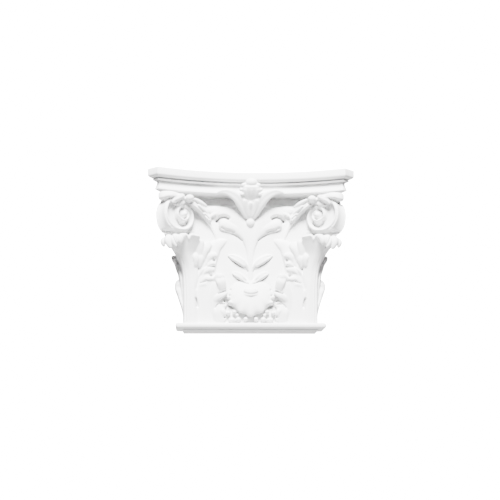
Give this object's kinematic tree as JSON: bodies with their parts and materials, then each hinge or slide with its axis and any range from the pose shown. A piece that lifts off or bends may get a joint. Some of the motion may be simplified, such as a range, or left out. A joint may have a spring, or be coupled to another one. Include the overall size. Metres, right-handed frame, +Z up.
{
  "type": "corinthian pilaster capital",
  "caption": "Flat-backed Corinthian pilaster capital with a concave abacus, diagonal volutes and acanthus leaves, cast in one piece to crown a shallow pilaster.",
  "frame": {"origin": "centre of the flat seat on the underside", "axes": "+Z up, +X to the right seen from the front, -Y out of the wall towards the viewer, +Y towards the wall"},
  "size_m": [0.31, 0.082, 0.24],
  "materials": {
    "casting": "matt white primed casting"
  },
  "bodies": {
    "root": {"capital": "casting"}
  },
  "joints": []
}
